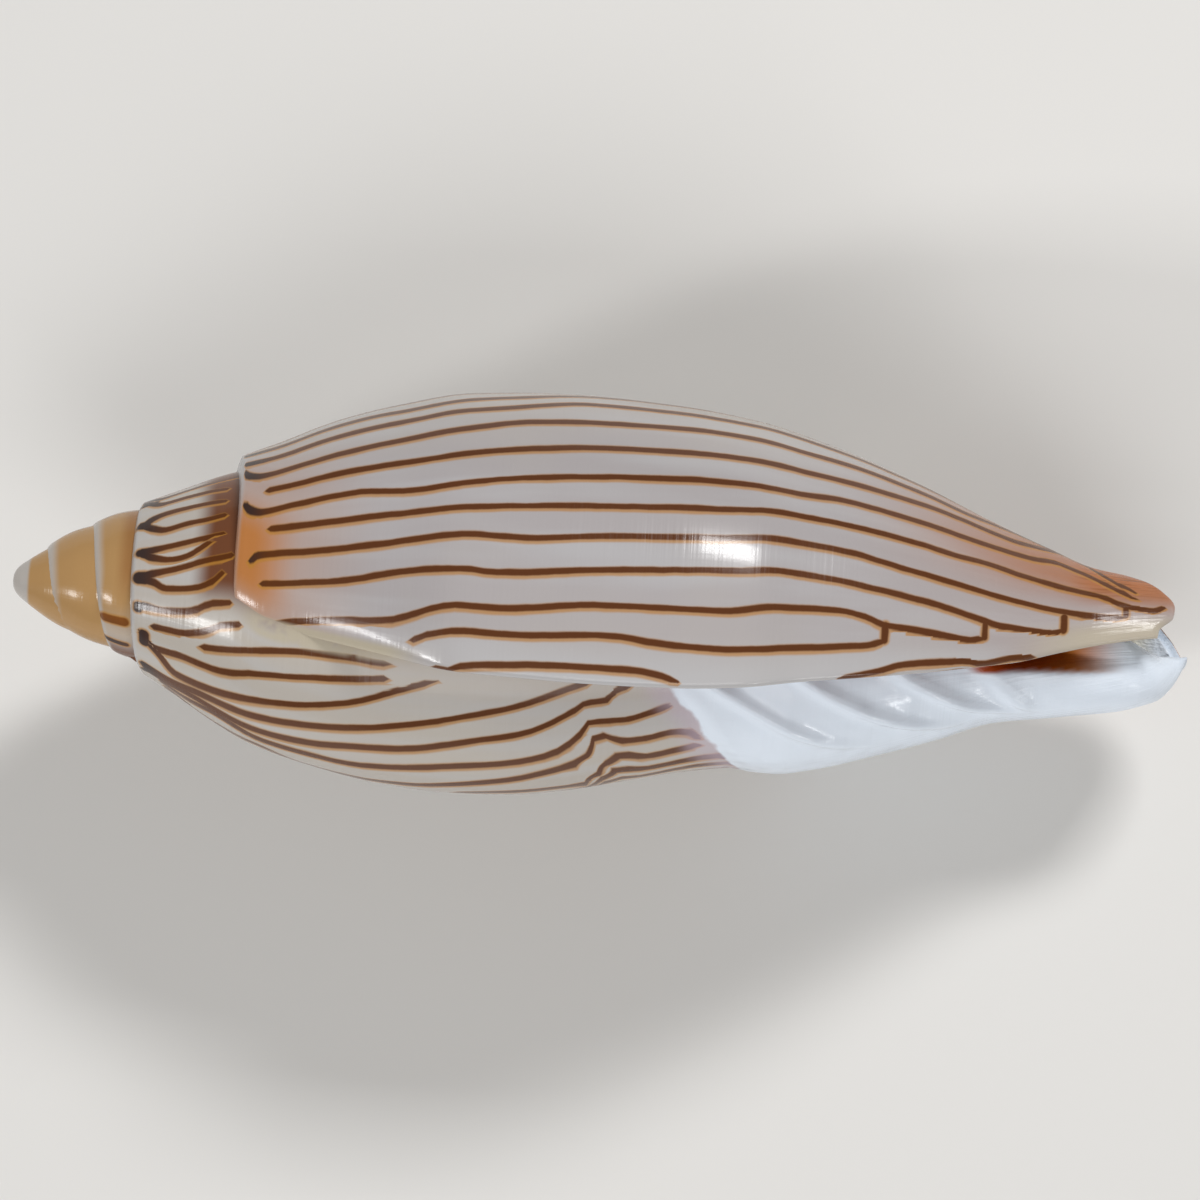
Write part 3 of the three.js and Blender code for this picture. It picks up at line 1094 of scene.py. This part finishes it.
    def lines(self, at: Reading, colour: Any) -> Any:
        """Draws the fine lines over a colour.

        Args:
            at: What is read at each point.
            colour: The colour underneath.

        Returns:
            The colour's socket.
        """
        nodes, turn = at.nodes, at.turn
        number = nodes.attribute("line_number")
        gap = nodes.attribute("line_gap")
        no_ink = (1 - nodes.attribute("line_ink")) * 0.5
        wave = nodes.noise(at.place, 0.9, 4.0) - 0.5
        swell = 0.75 + nodes.noise(at.place, 0.35, 2.0) * 0.5
        start = 1 - at.seam.rise(*self.line_start)
        side = (number - number.with_math("ROUND")) * gap + wave * 0.09
        aside = turn.within(self.upper_side_turns, self.upper_side_last_turns)
        aside = aside + turn.within(self.lower_side_turns, self.lower_side_last_turns)
        width = swell + start * 0.4 + aside * 0.8
        off_line = abs(side) / width + no_ink
        off_fringe = abs(side + self.fringe_drop) / width + no_ink
        off_blot = nodes.number(9.0)
        for blot in BLOTS:
            off_blot = off_blot.with_math("MINIMUM", self.off_blot(nodes, blot))
        off_blot = off_blot + wave * 0.12
        off_line = off_line.with_math("MINIMUM", off_blot)
        off_fringe = off_fringe.with_math("MINIMUM", off_blot)
        fringe = 1 - off_fringe.rise(self.line_half, self.fringe_half)
        colour = nodes.mixed(fringe * 0.75, colour, self.line_edge)
        core = 1 - off_line.rise(self.line_half * 0.6, self.line_half * 1.2)
        dark = nodes.mixed(start, self.line_core, self.line_blue)
        dark = nodes.mixed(turn.rise(*self.rust_line_turns), dark, self.rust)
        return nodes.mixed(core * 0.93, colour, dark)

    def off_blot(self, nodes: Nodes, blot: Blot) -> Value:
        """Gives the distance from one spot or stroke, in millimetres.

        Args:
            nodes: The material's nodes.
            blot: The spot.

        Returns:
            The distance.
        """
        place, turn = self.view.on_shell(self.form, np.array([blot.pixel]), blot.base)
        round_about = 2 * math.pi * float(self.form.radius(place, turn)[0])
        aside = abs(nodes.attribute("along") - float(place[0])) - blot.half_along
        across = abs(nodes.attribute("turn") - float(turn[0])) * round_about - blot.half_across
        aside = aside.with_math("MAXIMUM", 0.0)
        across = across.with_math("MAXIMUM", 0.0)
        return (aside * aside + across * across).with_math("SQRT") - blot.swell

    def lip(self, at: Reading, colour: Any) -> Any:
        """Adds the pale band along the lip.

        Args:
            at: What is read at each point.
            colour: The colour underneath.

        Returns:
            The colour's socket.
        """
        band = (1 - at.turn.rise(*self.lip_turns)) * at.along.rise(*self.band_start)
        band = band * (1 - at.along.rise(*self.band_end))
        colour = at.nodes.mixed(band * 0.6, colour, self.pearl)
        front = (1 - at.turn.rise(*self.front_lip_turns)) * at.along.rise(*self.front_lip_zone)
        return at.nodes.mixed(front * 0.75, colour, self.shelf)

    def corner(self, at: Reading, colour: Any) -> Any:
        """Adds the smooth glaze that fills the lip's back corner.

        Args:
            at: What is read at each point.
            colour: The colour underneath.

        Returns:
            The colour's socket.
        """
        thick = at.along.rise(*self.corner_start) * (1 - at.along.rise(*self.corner_end))
        fill = thick * (1 - at.turn.rise(*self.corner_turns))
        wave = at.nodes.noise(at.place, 0.8, 3.0)
        beneath = at.turn.within(self.beneath_turns, self.beneath_last_turns)
        under = thick * beneath * wave.rise(0.3, 0.5)
        return at.nodes.mixed(fill * 0.92 + under * 0.8, colour, self.shelf)

    def glaze(self, at: Reading, colour: Any) -> Any:
        """Covers the pillar and the inner lip with white glaze.

        Args:
            at: What is read at each point.
            colour: The colour underneath.

        Returns:
            The colour's socket.
        """
        ragged = (at.nodes.noise(at.place, 0.55, 3.0) - 0.5) * 1.4
        past_edge = at.nodes.attribute("glaze_edge") + ragged
        thin = past_edge.rise(*self.mauve_reach) * 0.55
        colour = at.nodes.mixed(thin, colour, self.mauve)
        return at.nodes.mixed(past_edge.rise(*self.white_reach), colour, self.white)

    def inside(self, at: Reading, colour: Any) -> Any:
        """Colours the inside and the deep start of the front channel.

        Args:
            at: What is read at each point.
            colour: The colour underneath.

        Returns:
            The colour's socket.
        """
        nodes, along = at.nodes, at.along
        channel = nodes.attribute("channel") * (1 - along.rise(*self.channel_end))
        deep = nodes.mixed(along.rise(*self.glow_zone), self.inner, self.glow)
        colour = nodes.mixed(channel, colour, deep)
        within = nodes.attribute("inside").rise(0.2, 0.8)
        front = nodes.mixed(along.rise(*self.ivory_zone), deep, self.ivory)
        front = nodes.mixed(along.rise(*self.white_zone), front, self.white)
        return nodes.mixed(within, colour, front)


@dataclass
class ShellSkin:
    """The shell's fine surface: one sheet that coils from the lip to the tip, with a wall.

    Sizes are in millimetres. Rim, head and tail are the close rows at the sheet's edges.
    """

    form: ShellForm
    view: PhotoView
    outer_columns: int = 150
    pillar_columns: int = 66
    seen_columns: int = 44
    inner_columns: int = 14
    early_columns: int = 70
    pillar_turn: float = 0.83
    seen_turn: float = 1.02
    inner_turn: float = 1.27
    early_turn: float = 1.62
    last_turn: float = 3.96
    round_lip: float = 68.0
    rim: tuple[float, ...] = (0, 0.02, 0.06, 0.11, 0.17, 0.24, 0.31, 0.38)
    rows: int = 128
    head: tuple[float, ...] = (0, 0.012, 0.04, 0.085, 0.15, 0.23)
    head_end: float = 0.3
    tail: tuple[float, ...] = (1.08, 0.88, 0.7, 0.54, 0.4, 0.28, 0.18, 0.1, 0.04, 0.01, 0.0)
    tail_start: float = 1.3
    edge: float = 0.36
    soft_edge: float = 1.0
    soft_until: Zone = (16.5, 22.0)
    seam_edge: float = 0.28
    dome_edge: float = 1.3
    thin_lip_turns: Zone = (0.0, 0.22)
    thin_front: Zone = (42.0, 52.0)
    thin_early_turns: Zone = (1.6, 1.8)
    thin_tip_turns: Zone = (2.6, 3.4)
    glaze_rise: Zone = (-0.15, 0.5)
    pillar_turns: Zone = (0.46, 0.56)
    dome_thin: Zone = (0.4, 3.0)
    dome_lost_turns: Zone = (1.7, 1.8)
    hidden_turns: Zone = (1.6, 1.75)
    tucked_turns: Zone = (3.25, 3.6)
    seam_lost_turns: Zone = (3.3, 3.8)
    slanted_angles: Zone = (215.0, 285.0)
    straight_angles: Zone = (370.0, 440.0)
    channel_angles: Zone = (335.0, 339.0)
    channel_start: Zone = (46.9, 47.6)
    row_share: Curve = smooth((0, 0), (0.12, 0.06), (0.44, 0.47), (0.86, 0.83), (1, 1))
    name: str = "shell_skin"
    order: np.ndarray = field(init=False)

    def turns(self) -> np.ndarray:
        """Gives the turn of each column, close together at the lip's edge.

        Returns:
            The turns, rising.
        """
        rim = np.array(self.rim) / self.round_lip
        share = np.linspace(0, 1, self.outer_columns) ** 1.25
        parts = [rim[:-1], rim[-1] + (self.pillar_turn - rim[-1]) * share]
        start = self.pillar_turn
        for end, count in (
            (self.seen_turn, self.pillar_columns),
            (self.inner_turn, self.seen_columns),
            (self.early_turn, self.inner_columns),
            (self.last_turn, self.early_columns),
        ):
            parts.append(np.linspace(start, end, count + 1)[1:])
            start = end
        return np.concatenate(parts)

    def places(self, turn: np.ndarray) -> np.ndarray:
        """Gives the places along the axis of every row of every column.

        Args:
            turn: The turn of each column.

        Returns:
            One row of places for each column.
        """
        form = self.form
        start = form.seam_place(turn)
        short = form.seam_place(turn - 1) + 0.5
        end = form.front(turn)
        end = end + (short - end) * smoothstep(turn, *self.hidden_turns)
        count = self.rows - len(self.head) - len(self.tail)
        share = self.row_share(np.arange(count) / (count - 1))
        size = ((end - start) / 10).clip(0.05, 1.0)
        low = start + self.head_end * size
        high = end - self.tail_start * size
        middle = low[:, None] + (high - low)[:, None] * share[None, :]
        angle = form.lip_angle(40.0) + 360 * turn
        off = np.clip(angle - form.fold_middle, -38, 40)
        off = off * smoothstep(angle, *self.slanted_angles)
        off = off * (1 - smoothstep(angle, *self.straight_angles))
        middle = middle - form.fold_slant(middle) * off[:, None]
        first = start[:, None] + np.array(self.head)[None, :] * size[:, None]
        last = end[:, None] - np.array(self.tail)[None, :] * size[:, None]
        return np.concatenate([first, middle, last], axis=1)

    def rounded(self, distance: np.ndarray, reach: Any) -> np.ndarray:
        """Gives the share of a quarter circle's drop at a distance from an edge.

        Args:
            distance: Distances from the edge.
            reach: Where the rounding ends.

        Returns:
            1 at the edge, 0 at its end.
        """
        share = np.clip(distance / reach, 0, 1)
        return 1 - np.sqrt(1 - (1 - share) ** 2)

    def wall(self, along: np.ndarray, turn: np.ndarray) -> np.ndarray:
        """Gives the full wall, thinner at the lip, at the front and in the early turns.

        Args:
            along: The place of each vertex, by column and row.
            turn: Its turn.

        Returns:
            The wall at each vertex.
        """
        form = self.form
        inward = smoothstep(turn, *self.thin_lip_turns)
        wall = form.lip_edge + (form.wall - form.lip_edge) * inward
        wall = wall * (1 - 0.35 * smoothstep(along, *self.thin_front))
        wall = wall * (1 - 0.5 * smoothstep(turn, *self.thin_early_turns))
        return wall * (1 - 0.4 * smoothstep(turn, *self.thin_tip_turns))

    def section(self, along: np.ndarray, turn: np.ndarray) -> tuple[np.ndarray, np.ndarray]:
        """Gives the radius and the wall of the sheet, rounded at its edges.

        Args:
            along: The place of each vertex, by column and row.
            turn: Its turn.

        Returns:
            The radius and the wall at each vertex.
        """
        form = self.form
        radius = form.fused(along, turn, form.radius(along, turn))
        past_edge = along - form.glaze_edge(form.lip_angle(along) + 360 * turn)
        glazed = smoothstep(past_edge, *self.glaze_rise) * (turn < self.early_turn)
        radius = radius + form.glaze_thickness * glazed
        wall = self.wall(along, turn)
        from_end = along[:, -1:] - along
        soft = 1 - smoothstep(along, *self.soft_until)
        at_lip = self.rounded(turn * 2 * np.pi * radius, self.edge + self.soft_edge * soft)
        at_front = self.rounded(from_end, self.edge)
        at_seam = self.rounded(along - form.seam_place(turn), self.seam_edge)
        pillar = smoothstep(turn, *self.pillar_turns)
        rim = np.maximum(at_lip, at_front * (1 - pillar))
        radius = radius - rim * wall / 2
        step = form.seam_step(turn) * 1.6 + 0.1
        radius = radius - at_seam * step * (1 - smoothstep(turn, *self.seam_lost_turns))
        radius = radius * (1 - 0.4 * smoothstep(turn, *self.tucked_turns))
        drop = self.rounded(from_end, self.dome_edge) * pillar
        radius = radius * (1 - drop * (1 - smoothstep(turn, *self.dome_lost_turns)))
        at_end = 0.93 * pillar * (1 - smoothstep(from_end, *self.dome_thin))
        return radius, wall * (1 - rim * 0.96) * (1 - at_end)

    def build(self, lift: Vector) -> Any:
        """Builds the sheet, gives it its wall and lays it in place.

        Args:
            lift: The move from the axis frame to the shell's resting place.

        Returns:
            The finished piece.
        """
        turn = self.turns()
        along = self.places(turn)
        turns = np.repeat(turn[:, None], along.shape[1], axis=1)
        radius, wall = self.section(along, turns)
        points = self.form.points(along, turns, radius)
        piece = self.sheet(points, wall.ravel(), along.shape)
        inner = len(piece.data.vertices)
        dome = self.tip()
        piece.select_set(True)
        dome.select_set(True)
        bpy.context.view_layer.objects.active = piece
        bpy.ops.object.join()
        self.mark(piece, self.markings(along, turns, radius), inner)
        self.lay(piece, lift)
        return piece

    def sheet(self, points: np.ndarray, wall: np.ndarray, shape: tuple[int, int]) -> Any:
        """Makes the sheet from a grid and gives it a wall.

        Args:
            points: The place of each vertex.
            wall: The wall at each vertex.
            shape: The numbers of columns and rows.

        Returns:
            The piece, in the axis frame.
        """
        bpy.ops.object.select_all(action="DESELECT")
        bpy.ops.mesh.primitive_grid_add(
            x_subdivisions=shape[0] - 1, y_subdivisions=shape[1] - 1, size=2
        )
        piece = bpy.context.object
        piece.name = self.name
        mesh = piece.data
        flat = np.empty(len(mesh.vertices) * 3)
        mesh.vertices.foreach_get("co", flat)
        flat = flat.reshape(-1, 3)
        column = np.rint((flat[:, 0] + 1) / 2 * (shape[0] - 1)).astype(int)
        row = np.rint((flat[:, 1] + 1) / 2 * (shape[1] - 1)).astype(int)
        self.order = column * shape[1] + row
        mesh.vertices.foreach_set("co", points[self.order].ravel())
        mesh.update()
        bpy.ops.object.mode_set(mode="EDIT")
        bpy.ops.mesh.select_all(action="SELECT")
        bpy.ops.mesh.flip_normals()
        bpy.ops.object.mode_set(mode="OBJECT")
        group = piece.vertex_groups.new(name="wall")
        share = wall[self.order] / self.form.wall
        for index, weight in enumerate(share):
            group.add([index], float(weight), "REPLACE")
        thick = piece.modifiers.new("wall", "SOLIDIFY")
        thick.thickness = self.form.wall
        thick.offset = -1
        thick.vertex_group = "wall"
        thick.use_rim = True
        bpy.ops.object.modifier_apply(modifier="wall")
        return piece

    def markings(
        self, along: np.ndarray, turn: np.ndarray, radius: np.ndarray
    ) -> dict[str, np.ndarray]:
        """Works out the numbers that the finish reads at each vertex.

        Args:
            along: The place of each vertex, by column and row.
            turn: Its turn.
            radius: Its radius.

        Returns:
            The numbers by name.
        """
        form = self.form
        number, gap, ink = Stripes(form, self.view).spread(along, turn, radius)
        seam = along - form.seam_place(turn)
        angle = form.lip_angle(along) + 360 * turn
        channel = smoothstep(angle, *self.channel_angles)
        channel = channel * smoothstep(along, *self.channel_start)
        return {
            "line_number": number,
            "line_gap": gap,
            "line_ink": ink * smoothstep(seam, 0.1, 0.3) * (turn < 2.02),
            "along": along,
            "turn": turn,
            "from_seam": seam,
            "before_edge": form.seam_place(turn - 1) - along,
            "glaze_edge": np.where(turn < 1.9, along - form.glaze_edge(angle), -9.0),
            "channel": channel * (turn < 1.3),
        }

    def mark(self, piece: Any, marks: dict[str, np.ndarray], inner: int) -> None:
        """Keeps the finish's numbers at each vertex, on both sides of the sheet and the dome.

        Args:
            piece: The joined piece.
            marks: The numbers of the sheet, by name, in columns and rows.
            inner: The number of vertices of the sheet with its wall.
        """
        count = len(piece.data.vertices)
        flat = np.empty(count * 3)
        piece.data.vertices.foreach_get("co", flat)
        on_dome = {
            "along": flat.reshape(-1, 3)[inner:, 0],
            "turn": 3.5,
            "from_seam": 1.0,
            "before_edge": 3.0,
            "glaze_edge": -9.0,
        }
        sides = np.zeros(count)
        sides[len(self.order) : inner] = 1.0
        columns = {"inside": sides}
        for name, values in marks.items():
            columns[name] = np.zeros(count)
            columns[name][:inner] = np.tile(values.ravel()[self.order], 2)[:inner]
            columns[name][inner:] = on_dome.get(name, 0.0)
        for name, column in columns.items():
            attribute = piece.data.attributes.new(name, "FLOAT", "POINT")
            attribute.data.foreach_set("value", column)

    def tip(self) -> Any:
        """Makes the smooth dome that closes the tip.

        Returns:
            The dome, in the axis frame.
        """
        bpy.ops.object.select_all(action="DESELECT")
        bpy.ops.mesh.primitive_uv_sphere_add(segments=64, ring_count=28, radius=1)
        dome = bpy.context.object
        reach = self.form.tip_dome.places[-1]
        for vertex in dome.data.vertices:
            angle = math.atan2(vertex.co.y, vertex.co.x)
            down = math.acos(max(-1.0, min(1.0, vertex.co.z))) / math.pi
            along = reach * down * down
            radius = 0.0 if down > 0.999 else float(self.form.tip_dome(along))
            vertex.co = (along, radius * math.sin(angle), radius * math.cos(angle))
        dome.data.update()
        return dome

    def lay(self, piece: Any, lift: Vector) -> None:
        """Lays the piece on its side, flattens its resting spot and shades it smooth.

        Args:
            piece: The piece, in the axis frame and millimetres.
            lift: The move to the resting place, in millimetres.
        """
        mesh = piece.data
        scale = Matrix.Scale(MILLIMETRE, 4)
        mesh.transform(scale @ Matrix.Translation(lift) @ self.form.on_its_side())
        for vertex in mesh.vertices:
            vertex.co.z = max(vertex.co.z, 0.0)
        mesh.update()
        bpy.ops.object.shade_smooth()


@dataclass(frozen=True)
class Lamp:
    """One soft light: its place and size in metres, and its power in watts."""

    name: str
    place: tuple[float, float, float]
    size: tuple[float, float]
    power: float

    def hang(self, aim: Vector) -> None:
        """Hangs the light.

        Args:
            aim: The point it faces.
        """
        data = bpy.data.lights.new(self.name, "AREA")
        data.shape = "RECTANGLE"
        data.size, data.size_y = self.size
        data.energy = self.power
        lamp = bpy.data.objects.new(self.name, data)
        place = Vector(self.place)
        away = (place - aim).normalized()
        side = (Vector((1, 0, 0)) - away * away.x).normalized()
        lamp.matrix_world = Matrix((side, away.cross(side), away)).transposed().to_4x4()
        lamp.location = place
        bpy.context.scene.collection.objects.link(lamp)


@dataclass
class Studio:
    """A pale floor, soft light and the photograph's camera."""

    view: PhotoView
    floor_half: float = 0.6
    floor_colour: Colour = (0.68, 0.67, 0.65)
    floor_rough: float = 0.8
    sky_colour: Colour = (1.0, 0.98, 0.96)
    sky_strength: float = 0.22
    aim: tuple[float, float, float] = (0.0, 0.0, 0.01)
    lamps: tuple[Lamp, ...] = (
        Lamp("upper_light", (0.19, 0.375, 0.365), (0.17, 0.08), 2.1),
        Lamp("lower_light", (-0.46, -0.24, 0.32), (0.13, 0.07), 1.2),
        Lamp("glint_light", (0.34, -0.46, 0.14), (0.08, 0.05), 0.4),
        Lamp("fill_light", (0.1, -0.5, 0.55), (0.6, 0.3), 2.1),
    )
    camera_name: str = "photo_camera"
    nearest: float = 0.01

    def floor(self) -> None:
        """Makes the plain pale floor."""
        bpy.ops.object.select_all(action="DESELECT")
        bpy.ops.mesh.primitive_plane_add(size=2 * self.floor_half, location=(0, 0, 0))
        floor = bpy.context.object
        floor.name = "floor"
        nodes = Nodes("pale_floor")
        nodes.shader.inputs["Base Color"].default_value = (*self.floor_colour, 1)
        nodes.shader.inputs["Roughness"].default_value = self.floor_rough
        floor.data.materials.append(nodes.material)

    def lights(self) -> None:
        """Hangs the lights and sets the soft light all round."""
        world = bpy.data.worlds.new("studio")
        world.use_nodes = True
        background = world.node_tree.nodes["Background"]
        background.inputs["Color"].default_value = (*self.sky_colour, 1)
        background.inputs["Strength"].default_value = self.sky_strength
        bpy.context.scene.world = world
        bpy.context.scene.view_settings.view_transform = "Standard"
        for lamp in self.lamps:
            lamp.hang(Vector(self.aim))

    def camera(self, form: ShellForm, lift: Vector) -> None:
        """Sets the camera where the photograph was taken from.

        Args:
            form: The shell's form, for the way it lies.
            lift: The move to the resting place, in millimetres.
        """
        view = self.view
        along, across = view.centre()
        slope = math.radians(view.slope)
        right = Vector((math.cos(slope), math.sin(slope), 0))
        up = Vector((-math.sin(slope), math.cos(slope), 0))
        back = Vector((0, 0, 1))
        stand = Matrix((right, up, back)).transposed().to_4x4()
        stand.translation = Vector((along, across, view.distance))
        placed = Matrix.Translation(lift) @ form.on_its_side() @ stand
        placed.translation = placed.translation * MILLIMETRE
        data = bpy.data.cameras.new(self.camera_name)
        half_width = view.width / view.pixels_per_mm / 2
        data.angle = 2 * math.atan(half_width / view.distance)
        data.clip_start = self.nearest
        camera = bpy.data.objects.new(self.camera_name, data)
        camera.matrix_world = placed
        bpy.context.scene.collection.objects.link(camera)
        bpy.context.scene.camera = camera


def resting_lift(form: ShellForm) -> Vector:
    """Finds the move that sets the turned shell on the floor with its box about the origin.

    Args:
        form: The shell's form.

    Returns:
        The move, in millimetres.
    """
    columns = 361
    rows = 301
    turn = np.repeat(np.linspace(0, 1, columns)[:, None], rows, axis=1)
    start = form.seam_place(turn)
    along = start + (form.front(turn) - start) * np.linspace(0, 1, rows)[None, :]
    points = form.points(along, turn, form.radius(along, turn))
    points = np.concatenate([points, [[0.0, 0.0, 0.0]]])
    turned = form.on_its_side()
    placed = points @ np.array(turned.to_3x3()).T + np.array(turned.translation)
    low = placed.min(axis=0)
    high = placed.max(axis=0)
    middle = (low + high) / 2
    return Vector((-middle[0], -middle[1], -low[2] - form.spot_depth))


def main() -> None:
    """Builds the shell and its studio."""
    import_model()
    form = ShellForm()
    view = PhotoView()
    lift = resting_lift(form)
    studio = Studio(view)
    studio.camera(form, lift)
    studio.floor()
    studio.lights()
    skin = ShellSkin(form, view).build(lift)
    skin.data.materials.append(Porcelain(form, view).material())
    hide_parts("shell")
    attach(skin, "root")
    faces = sum(len(p.vertices) - 2 for p in skin.data.polygons)
    log.info("%s: %d triangles", skin.name, faces)


if __name__ == "__main__":
    main()
